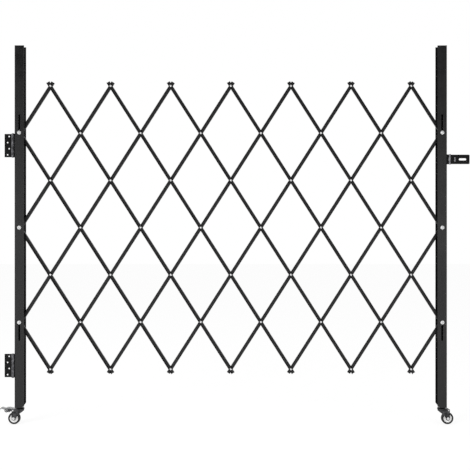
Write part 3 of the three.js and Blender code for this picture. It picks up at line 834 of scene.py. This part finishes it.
# A nut's flat face is smaller than its hexagon, and its corners slope down from it.
FACE_SHARE = 0.97
CORNER_SHARE = 1.02
SLOPE_SHARE = 0.6
FLANGE_LINE = [
    (4, -20.36), (8.2, -20.36), (8.5, -20.6), (8.5, -21.4), (8.1, -21.95), (6.6, -22.6), (4, -22.6),
]


def chamfered_hex(flats, low, high, bore):
    """A hexagon with its corners turned off at both ends, and a bore."""
    corner = flats / math.sqrt(3)
    slope = (corner - flats / 2) * SLOPE_SHARE
    face, rim = flats / 2 * FACE_SHARE, corner * CORNER_SHARE
    blank = pressed(hexagon(flats), low, high, [round_hole(0, 0, bore)], edge=0)
    line = [(0, low), (face, low), (rim, low + slope), (rim, high - slope), (face, high), (0, high)]
    return cut_by(blank, turned(line, 36), "INTERSECT")


nut_form = whole(turned(closed(FLANGE_LINE), 40), chamfered_hex(NUT_FLATS, -28.6, -22.1, 3.95))
print("nut faces", len(nut_form.faces))

# %% Set the post bolts
for side in SIDES:
    for row, height in bolt_height.items():
        spot = in_gate(post_axis[side], height) @ facing_front
        label = side + "_" + row
        body = frame["nodes"][label + "_bolt"]["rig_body"]
        make(label + "_button_bolt", bolt_form, bolt_zinc, body, spot, [label + "_bolt"])
        make(label + "_washer", washer_form, bolt_zinc, body, spot)
        make(label + "_flange_nut", nut_form, bolt_zinc, body, spot, [label + "_nut"])
        make(label + "_front_sleeve", sleeve_form, bolt_zinc, body, spot)
        make(label + "_rear_sleeve", sleeve_form, bolt_zinc, body, spot @ rotation(180, "X"))
print("post bolts", len(SIDES) * len(bolt_height))


# %% [markdown]
# ## Butt hinges
# A butt hinge is two plates whose edges are rolled into knuckles round one pin. The roll is drawn
# as a section, a strip that runs along the plate and then round the pin, and pulled up to each
# knuckle's height. The hasp has such rolls too, so the helpers take the sizes of either. The screw
# holes are sunk with a cone, so that screw heads lie flush.

# %% Rolled knuckles
ROLL_SUNK = 0.02
KNUCKLE_GAP = 0.18


def rolled(barrel, thick, start):
    """The section of a knuckle: a strip from x = -start, sunk a hair into its plate, then rolled."""
    inner = barrel - thick
    end = -180 - math.degrees(math.asin((inner - 0.3) / barrel))
    outer = arc(0, 0, barrel, 90, end, 30)
    inside = arc(0, 0, inner, end, 90, 30)
    return [(-start, barrel - ROLL_SUNK)] + outer + inside + [(-start, inner + ROLL_SUNK)]


def knuckles(section, height, count, first, edge=0.25):
    """Every second knuckle of a leaf, with a gap to each neighbour."""
    step = height / count
    rolls = []
    for k in range(first, count, 2):
        low = k * step - height / 2 + (KNUCKLE_GAP if k else 0)
        high = (k + 1) * step - height / 2 - (KNUCKLE_GAP if k < count - 1 else 0)
        rolls.append(rubbed(pressed(section, low, high, edge=edge)))
    return rolls


# %% Hinge leaves and pin
HINGE_HEIGHT = 105
HINGE_REACH = 39
HINGE_BARREL = 7
HINGE_THICKNESS = 3
HINGE_KNUCKLES = 5
HINGE_CORNER = 1.5
HINGE_EDGE = 0.3
HINGE_OVERLAP = 1.9
# Room between a barrel and the flat of the other leaf.
BARREL_ROOM = 0.35
HINGE_HOLES = [(-19, 41.27), (-26, 13.76), (-19, -13.76), (-26, -41.27)]
SUNK_LINE = [(0, 0.6), (5, 0.6), (5, 0), (3.2, -2.2), (3.2, -5), (0, -5)]
HINGE_PIN_HALF = [
    (0, 55), (2.5, 54.92), (4.3, 54.55), (5.6, 53.9), (6.15, 53.2), (6.1, 52.9), (3.8, 52.9),
]
leaf_face = HINGE_BARREL - HINGE_THICKNESS

half, near = HINGE_HEIGHT / 2, HINGE_BARREL + BARREL_ROOM
corner_x, corner_y = -HINGE_REACH + HINGE_CORNER, half - HINGE_CORNER
outline = [(-near, -half), (-near, half)]
outline += arc(corner_x, corner_y, HINGE_CORNER, 90, 180, 6)
outline += arc(corner_x, -corner_y, HINGE_CORNER, 180, 270, 6)
flat_leaf = placed(pressed(outline, -HINGE_BARREL, -leaf_face, edge=HINGE_EDGE), facing_front)
sink = turned(SUNK_LINE, 32)
for x, z in HINGE_HOLES:
    flat_leaf = cut_by(flat_leaf, placed(sink, shift(x, leaf_face, z) @ facing_front))

hinge_roll = rolled(HINGE_BARREL, HINGE_THICKNESS, HINGE_BARREL + HINGE_OVERLAP)
wall_leaf, gate_leaf = (
    whole(flat_leaf, *knuckles(hinge_roll, HINGE_HEIGHT, HINGE_KNUCKLES, first, HINGE_EDGE))
    for first in (0, 1)
)
hinge_pin = turned(both_ways(HINGE_PIN_HALF), 36)
print("leaf faces", len(wall_leaf.faces), len(gate_leaf.faces))


# %% [markdown]
# The leaf on the wall shows open holes, because this gate isn't hung yet. The other leaf is screwed
# to the post's side with four sunk cross-head screws, each stopped at a turn of its own.

# %% Cross-head screws
SCREW_LINE = [(0, -0.1), (3.4, -0.1), (4.85, -0.25), (3.1, -2.1), (2.4, -2.8), (0, -2.8)]
CROSS_ARM = [(-2.1, -0.42), (2.1, -0.42), (2.1, 0.42), (-2.1, 0.42)]
FIRST_SCREW_TURN = 23
NEXT_SCREW_TURN = 61

screw_form = turned(SCREW_LINE, 32)
for degrees in (0, 90):
    arm = placed(pressed(CROSS_ARM, -1.6, 1, edge=0), rotation(degrees, "Z"))
    screw_form = cut_by(screw_form, arm)
print("screw faces", len(screw_form.faces))

# %% Set the hinges
leaf_finish = (lacquer, rubbed_lacquer)
for place in ("upper", "lower"):
    name = place + "_hinge"
    axis = Matrix.Translation(middle(name + "_pin"))
    quarter = axis @ rotation(-90, "Z")
    make(name + "_wall_plate", wall_leaf, leaf_finish, "wall_hinges", axis, [name + "_wall_leaf"])
    make(name + "_gate_plate", gate_leaf, leaf_finish, "near_post", quarter, [name + "_gate_leaf"])
    make(name + "_axle_pin", hinge_pin, rubbed_lacquer, "wall_hinges", axis, [name + "_pin"])
    for k, (x, z) in enumerate(HINGE_HOLES):
        screw_turn = rotation(FIRST_SCREW_TURN + NEXT_SCREW_TURN * k, "Z")
        spot = quarter @ shift(x, leaf_face, z) @ facing_front @ screw_turn
        make("%s_screw_%d" % (name, k + 1), screw_form, bolt_zinc, "near_post", spot)
print("screws", 2 * len(HINGE_HOLES))


# %% [markdown]
# ## Hasp
# The far post closes with a hasp: a bracket bent round to lie on the post's side, and a plate that
# swings on it. The plate has a long slot with a raised edge for the staple, and a raised rib across
# it. Both are built from rings: one long hole after another, each a little higher and narrower,
# with a skin of faces between them.

# %% Ringed forms
RING_STEPS = 14


def ringed(rings, solid=True):
    """Joins (half straight, radius, height) rings, along X and up Z: a solid, or a closed ring."""
    form = bmesh.new()
    loops = []
    for straight, radius, height in rings:
        points = long_hole(0, 0, 2 * (straight + radius), 2 * radius, RING_STEPS)
        loops.append([form.verts.new((x * mm, y * mm, height * mm)) for x, y in points])
    for low, high in zip(loops, loops[1:] if solid else loops[1:] + loops[:1]):
        for k in range(len(low)):
            form.faces.new((low[k - 1], low[k], high[k], high[k - 1]))
    if solid:
        form.faces.new(loops[0])
        form.faces.new(loops[-1])
    bmesh.ops.recalc_face_normals(form, faces=form.faces)
    return form


# %% Raised pad and rib
SLOT_MIDDLE = 57
PAD_RINGS = [
    (13, 13, -2.1), (13, 12.8, -1.7), (13, 12.3, -1.2), (13, 11.6, -0.9), (13, 10.8, -0.82),
    (12, 6.25, -0.82), (12, 5.45, -0.95), (12, 4.95, -1.3), (12, 4.75, -1.9), (12, 4.75, -3.9),
    (12, 5.05, -4.15), (12, 5.85, -4.2), (12, 6.05, -3), (13, 12.9, -3),
]
RIB_MIDDLE = 23
RIB_RINGS = [
    (7.25, 3.3, -2.1), (7.25, 3.1, -1.6), (7.25, 2.6, -1.15), (7.25, 1.9, -0.9), (7.25, 1.0, -0.82),
]

pad = placed(ringed(PAD_RINGS, solid=False), shift(SLOT_MIDDLE, 0, 0))
rib = placed(rubbed(ringed(RIB_RINGS)), shift(RIB_MIDDLE, 0, 0) @ rotation(90, "Z"))
print("pad faces", len(pad.faces), "rib faces", len(rib.faces))

# %% Hasp plate
HASP_HEIGHT = 44.5
HASP_BARREL = 4.2
HASP_THICKNESS = 2.2
HASP_KNUCKLES = 3
HASP_OVERLAP = 1.8
HASP_END = 89
HASP_PLATE_HALF = 21.25
HASP_CORNER = 4
HASP_EDGE = 0.35
SLOT_LENGTH = 35.5
SLOT_WIDTH = 11.5
hasp_near = HASP_BARREL + BARREL_ROOM
hasp_face = HASP_BARREL - HASP_THICKNESS
hasp_roll = rolled(HASP_BARREL, HASP_THICKNESS, HASP_BARREL + HASP_OVERLAP)


def hasp_knuckles(first):
    return knuckles(hasp_roll, HASP_HEIGHT, HASP_KNUCKLES, first)


corner_x, corner_y = HASP_END - HASP_CORNER, HASP_PLATE_HALF - HASP_CORNER
outline = [(hasp_near, -HASP_PLATE_HALF)] + arc(corner_x, -corner_y, HASP_CORNER, -90, 0, 8)
outline += arc(corner_x, corner_y, HASP_CORNER, 0, 90, 8) + [(hasp_near, HASP_PLATE_HALF)]
slot = long_hole(SLOT_MIDDLE, 0, SLOT_LENGTH, SLOT_WIDTH)
hasp_flat = pressed(outline, -HASP_BARREL, -hasp_face, [slot], edge=HASP_EDGE)
# The plate's roll is mirrored, and its faces turned outward again.
plate_roll = placed(hasp_knuckles(1)[0], Matrix.Scale(-1, 4, (1, 0, 0)))
bmesh.ops.reverse_faces(plate_roll, faces=plate_roll.faces)
hasp_form = whole(placed(whole(hasp_flat, pad, rib), facing_front), plate_roll)
print("hasp plate faces", len(hasp_form.faces))

# %% Hasp bracket
# The middle of its bend, the bend's inner radius, and how far the strip runs back.
BEND_X = -11.35
BEND_RADIUS = 0.8
BRACKET_REACH = 30

bend_y, outer = HASP_BARREL + BEND_RADIUS, BEND_RADIUS + HASP_THICKNESS
bent = [(-hasp_near, hasp_face), (-hasp_near, HASP_BARREL)]
bent += arc(BEND_X, bend_y, BEND_RADIUS, -90, -180, 5)
bent += [(BEND_X - BEND_RADIUS, BRACKET_REACH), (BEND_X - outer, BRACKET_REACH)]
bent += arc(BEND_X, bend_y, outer, -180, -90, 8)
bracket_flat = pressed(bent, -HASP_HEIGHT / 2, HASP_HEIGHT / 2, edge=HASP_EDGE)
bracket_form = whole(bracket_flat, *hasp_knuckles(0))
print("hasp bracket faces", len(bracket_form.faces))

# %% Hasp pin and the rivets of its bracket
HASP_PIN_HALF = [(0, 23.95), (1.6, 23.87), (2.8, 23.55), (3.5, 23.05), (3.55, 22.65), (2.2, 22.65)]
FLAT_RIVET_LINE = [(0, 1.5), (2.2, 1.42), (3.4, 1.1), (4.1, 0.6), (4.3, 0), (0, 0)]
FLAT_RIVET_SPOTS = [(-12.2, 18, -13), (-12.2, 18, 13)]

# The hasp's rolls, rib and pin take the brighter copy of the rubbed lacquer, a painted highlight.
hasp_finish = (lacquer, painted_highlight_lacquer)
hasp_pin_form = turned(both_ways(HASP_PIN_HALF), 28)
flat_rivet_form = turned(FLAT_RIVET_LINE, 28)
hasp_axis = Matrix.Translation(middle("hasp_pin"))
make("hasp_swing_plate", hasp_form, hasp_finish, "hasp_plate", hasp_axis, ["hasp_plate"])
make("hasp_bent_bracket", bracket_form, hasp_finish, "far_post", hasp_axis, ["hasp_bracket"])
make("hasp_axle_pin", hasp_pin_form, painted_highlight_lacquer, "far_post", hasp_axis, ["hasp_pin"])
for number, spot in enumerate(FLAT_RIVET_SPOTS, start=1):
    to_the_side = hasp_axis @ shift(*spot) @ rotation(90, "Y")
    make("hasp_rivet_%d" % number, flat_rivet_form, lacquer, "far_post", to_the_side)
print("hasp rivets", len(FLAT_RIVET_SPOTS))


# %% [markdown]
# ## Casters
# Each post rolls on one swivel caster. Its wheel is white nylon inside a black tyre, shows the ring
# of a bearing on both sides of the hub, and turns on a bolt across a stamped fork. Everything is
# drawn once about the stem, with the wheel trailing toward +X, and turned round for the near post.

# %% Wheel
WHEEL_RADIUS = 27
WHEEL_TRAIL = 27
TYRE_HALF = [
    (18.6, 8.5), (19.1, 8.95), (21.2, 9.35), (24.2, 9.75), (25.4, 9.2), (26.3, 8.0), (26.75, 6.4),
    (26.95, 4.2), (WHEEL_RADIUS, 1.0), (26.75, 0.6),
]
RIM_HALF = [
    (4.5, 10.4), (7.4, 10.4), (7.95, 10.0), (8.3, 8.8), (9.4, 5.6), (10.6, 5.05), (14.6, 5.05),
    (15.6, 5.5), (17.6, 7.9), (18.3, 8.4), (20.0, 8.45), (20.45, 8.1),
]
BEARING_LINE = [
    (4.1, 10.75), (5.2, 10.75), (5.4, 10.6), (5.9, 10.6),
    (6.1, 10.75), (7.0, 10.75), (7.15, 10.35), (4.1, 10.3),
]

tyre_form = turned(closed(both_ways(TYRE_HALF)), 64)
rim_form = turned(closed(both_ways(RIM_HALF)), 64)
bearing = turned(closed(BEARING_LINE), 40)
bearing_form = whole(bearing, placed(bearing, rotation(180, "X")))
print("tyre faces", len(tyre_form.faces), "rim faces", len(rim_form.faces))

# %% Axle bolt
AXLE_FLATS = 12
AXLE_SHANK = [(0, 19), (3.6, 19), (3.95, 18.6), (3.95, -14.6), (0, -14.6)]
AXLE_HEAD = [(0, -19), (5.4, -19), (6.3, -18.5), (7.1, -17.6), (7.1, -14.5), (0, -14.5)]
AXLE_COLLAR = [(4, 18.3), (5.1, 18.3), (5.5, 17.9), (5.6, 17.2), (4, 17.2)]

shank = turned(AXLE_SHANK, 28)
head = cut_by(pressed(hexagon(AXLE_FLATS), -19, -14.55, edge=0), turned(AXLE_HEAD, 36), "INTERSECT")
collar = turned(closed(AXLE_COLLAR), 32)
axle_form = whole(shank, head, collar, chamfered_hex(AXLE_FLATS, 14.55, 17.6, 4))
print("axle faces", len(axle_form.faces))


# %% [markdown]
# The fork is one stamping: an arch of sheet seen from the front, and seen from the side two blades
# that sweep back to the axle. So the arch is pulled along the caster, and what lies outside the
# blades' outline is trimmed away. A mouth in the roof lets the brake pedal through.

# %% Fork outline
FORK_TOP = 69.3
BLADE_LEFT = -13
BLADE_RIGHT = 36
BLADE_SHOULDER = 58.3
# The lower edge runs from the first point to the last, pulled toward the one between them.
BLADE_CURVE = ((BLADE_LEFT, BLADE_SHOULDER), (11, 43), (17.5, WHEEL_RADIUS))
BLADE_STEPS = 14
EYE_RADIUS = 9.5


def pulled_curve(first, pull, last, steps):
    shares = [k / steps for k in range(steps + 1)]
    return [
        tuple((1 - t) ** 2 * a + 2 * t * (1 - t) * b + t * t * c for a, b, c in zip(first, pull, last))
        for t in shares
    ]


blades = [(BLADE_LEFT, FORK_TOP)] + pulled_curve(*BLADE_CURVE, BLADE_STEPS)
blades += arc(WHEEL_TRAIL, WHEEL_RADIUS, EYE_RADIUS, 180, 360, 20)[1:]
blades += [(BLADE_RIGHT, BLADE_SHOULDER), (BLADE_RIGHT, FORK_TOP)]
print("blade outline points", len(blades))

# %% Fork
FORK_HALF = 14.2
FORK_INSIDE = 12
FORK_ROOF = 66.3
FORK_BEND = 4
FORK_INNER_BEND = 1.5
FORK_FOOT = 10
FORK_EDGE = 0.3
FORK_CUT_ANGLE = 60
FORK_HOLES = [round_hole(WHEEL_TRAIL, WHEEL_RADIUS, 4.3), round_hole(31, 63, 2.3)]
FORK_MOUTH = [(25, -11.9), (45, -11.9), (45, 11.9), (25, 11.9)]
CROWN_LINE = [
    (5.4, 69.25), (15, 69.25), (16.9, 69.1), (17.8, 68.6),
    (18.2, 67.8), (18, 66.9), (17.4, 66.35), (5.4, 66.35),
]
# Stands a drawing up across the caster, with its thickness along X.
across = Matrix(((0, 0, 1, 0), (1, 0, 0, 0), (0, 1, 0, 0), (0, 0, 0, 1)))

x, top = FORK_HALF - FORK_BEND, FORK_TOP - FORK_BEND
arch = [(FORK_HALF, FORK_FOOT), (FORK_HALF, top)] + arc(x, top, FORK_BEND, 0, 90, 6)
arch += arc(-x, top, FORK_BEND, 90, 180, 6) + [(-FORK_HALF, FORK_FOOT), (-FORK_INSIDE, FORK_FOOT)]
x, top = FORK_INSIDE - FORK_INNER_BEND, FORK_ROOF - FORK_INNER_BEND
arch += arc(-x, top, FORK_INNER_BEND, 180, 90, 4) + arc(x, top, FORK_INNER_BEND, 90, 0, 4)
arch += [(FORK_INSIDE, FORK_FOOT)]
strip = placed(pressed(arch, -20, 40, edge=0), across)
trim = placed(pressed(blades, -30, 30, FORK_HOLES, edge=0), facing_front)
bent = cut_by(strip, trim, "INTERSECT")
bent = cut_by(bent, pressed(FORK_MOUTH, 60, 75, edge=0))
round_edges(bent, FORK_EDGE, FORK_CUT_ANGLE)
fork_shape = whole(bent, turned(closed(CROWN_LINE), 56))
print("fork faces", len(fork_shape.faces))


# %% [markdown]
# Over the crown sits a pressed cup with a rolled edge, for the balls of the swivel. The stem goes up
# through both, with its head below the crown, and its thread and nut in the post.

# %% Race, stem and nut
RACE_LINE = [
    (5, 75.6), (11.5, 75.6), (13, 75.2), (14.6, 74.2), (16.2, 73.6), (17.5, 73.1), (18.1, 72.3),
    (18.2, 71.0), (17.9, 70.1), (17.1, 69.7), (5, 69.7),
]
STEM_FOOT = [
    (0, 62.95), (4.6, 62.95), (6.9, 63.4), (8.1, 64.3), (8.5, 65.4), (8.4, 65.9), (5, 65.9), (5, 75.6),
]
STEM_RADIUS = 5
STEM_TIP = [(4.3, 91.0), (3.6, 91.8), (0, 91.8)]
STEM_NUT_FLATS = 16

race_shape = turned(closed(RACE_LINE), 56)
stem_shape = turned(STEM_FOOT + thread(STEM_RADIUS, 0.55, 90.4, 76.6)[::-1] + STEM_TIP, 36)
stem_nut_form = chamfered_hex(STEM_NUT_FLATS, 80.4, 88.3, STEM_RADIUS)
print("stem faces", len(stem_shape.faces), "nut faces", len(stem_nut_form.faces))

# %% Set the casters
wheel_spot = shift(WHEEL_TRAIL, 0, WHEEL_RADIUS) @ facing_front
for side in SIDES:
    stand = in_gate(post_axis[side], 0)
    if side == "near":
        stand = stand @ half_turn
    hub = stand @ wheel_spot
    name, wheel, post = side + "_caster", side + "_wheel", side + "_post"
    make(wheel + "_tyre", tyre_form, rubber, wheel, hub, [name + "_tyre"])
    make(wheel + "_rim", rim_form, nylon, wheel, hub, [name + "_rim"])
    make(wheel + "_bearing", bearing_form, bolt_zinc, wheel, hub)
    make(wheel + "_axle", axle_form, bolt_zinc, name, hub, [name + "_axle"])
    make(side + "_bent_fork", fork_shape, fork_lacquer, name, stand, [name + "_fork"])
    make(side + "_swivel_race", race_shape, lacquer, post, stand, [name + "_stem"])
    make(side + "_swivel_stem", stem_shape, bolt_zinc, post, stand)
    make(side + "_stem_nut", stem_nut_form, bolt_zinc, post, stand, [name + "_nut"])
print("casters", len(SIDES))


# %% [markdown]
# ## Foot brake
# Only the near caster has a brake. A zinc tread, bent along a smooth line with its sides turned
# down, lies on two black ears that tip on a pin through the fork. Each ear has a wide eye, and the
# shoe between them presses on the tyre. Tread and ears are two pieces, each with its own finish.

# %% Tread
TREAD_LINE = [
    (-8.8, 7.5), (1.9, 9.2), (12.6, 11.6), (26.5, 12.2),
    (37.8, 8.6), (49.1, 12.6), (56.1, 10.4), (62.6, 5.6),
]
TREAD_STEPS = 5
TREAD_HALF = 11.6
TREAD_THICKNESS = 1.6
SIDE_DEPTH = 4.6
SIDE_THICKNESS = 1.5


def between(a, b, c, d, t):
    """A value on the way t from b to c, smooth to a and d."""
    square, cube = 2 * a - 5 * b + 4 * c - d, 3 * b - a - 3 * c + d
    return 0.5 * (2 * b + (c - a) * t + square * t * t + cube * t ** 3)


def smooth_line(points, steps):
    """A smooth line through all points."""
    ends = points[:1] + points + points[-1:]
    line = []
    for four in zip(ends, ends[1:], ends[2:], ends[3:]):
        for k in range(steps):
            line.append(tuple(between(*values, k / steps) for values in zip(*four)))
    return line + points[-1:]


def strip_outline(line, thick):
    """A strip of even thickness under a line."""
    under = []
    for k, (x, z) in enumerate(line):
        before, after = line[max(k - 1, 0)], line[min(k + 1, len(line) - 1)]
        run = Vector((after[0] - before[0], after[1] - before[1])).normalized()
        under.append((x + run.y * thick, z - run.x * thick))
    return line + under[::-1]


wave = smooth_line(TREAD_LINE, TREAD_STEPS)
tread_top = pressed(strip_outline(wave, TREAD_THICKNESS), -TREAD_HALF, TREAD_HALF, edge=0.3)
lip = strip_outline(wave[TREAD_STEPS:], SIDE_DEPTH)
lips = [pressed(lip, y, y + SIDE_THICKNESS) for y in (-TREAD_HALF, TREAD_HALF - SIDE_THICKNESS)]
tread_shape = placed(whole(tread_top, *lips), facing_front)
print("tread faces", len(tread_shape.faces))

# %% Ears and shoe
EAR_NECK = [(8, -3.6), (13, -1.6), (14.6, -3.4), (16.0, -8.4), (20.6, -8.6), (22.0, -4.6)]
EAR_TOP = [(36, 7.0), (26.5, 9.4), (12.6, 9.0), (4, 7.0)]
EAR_EYE = (29.6, -0.2)
EAR_HALF = 10
EAR_THICKNESS = 1.6
SHOE_OUTLINE = [(16.2, -8.3), (20.4, -8.5), (20.4, -6.7), (17.8, -6.5), (17.8, 5), (16.2, 5)]
SHOE_HALF = 9.8

ear = arc(0, 0, 5, 90, 270, 14) + EAR_NECK + arc(*EAR_EYE, 9, 215, 385, 18) + EAR_TOP
ear_holes = [round_hole(*EAR_EYE, 4.7), round_hole(0, 0, 2.3, 16)]
ears = [pressed(ear, y, y + EAR_THICKNESS, ear_holes) for y in (-EAR_HALF, EAR_HALF - EAR_THICKNESS)]
shoe = pressed(SHOE_OUTLINE, -SHOE_HALF, SHOE_HALF, edge=0.3)
ears_shape = placed(whole(shoe, *ears), facing_front)
print("ears and shoe faces", len(ears_shape.faces))

# %% Set the brake
BRAKE_PIN_HALF = [(0, 15.85), (1.8, 15.75), (3.0, 15.3), (3.55, 14.7), (3.55, 14.56), (2, 14.56)]

brake_pin_form = turned(both_ways(BRAKE_PIN_HALF), 28)
brake_axis = middle("near_brake_pin")
brake_stand = in_gate(brake_axis.x, brake_axis.z) @ half_turn
brake_spot = brake_stand @ facing_front
make("near_brake_tread", tread_shape, tread_zinc, "brake_pedal", brake_stand, ["near_brake_pedal"])
make("near_brake_ears", ears_shape, fork_lacquer, "brake_pedal", brake_stand)
make("near_brake_rivet", brake_pin_form, bolt_zinc, "near_caster", brake_spot, ["near_brake_pin"])
print("brake pin at", round(brake_axis.x / mm, 1), round(brake_axis.z / mm, 1))
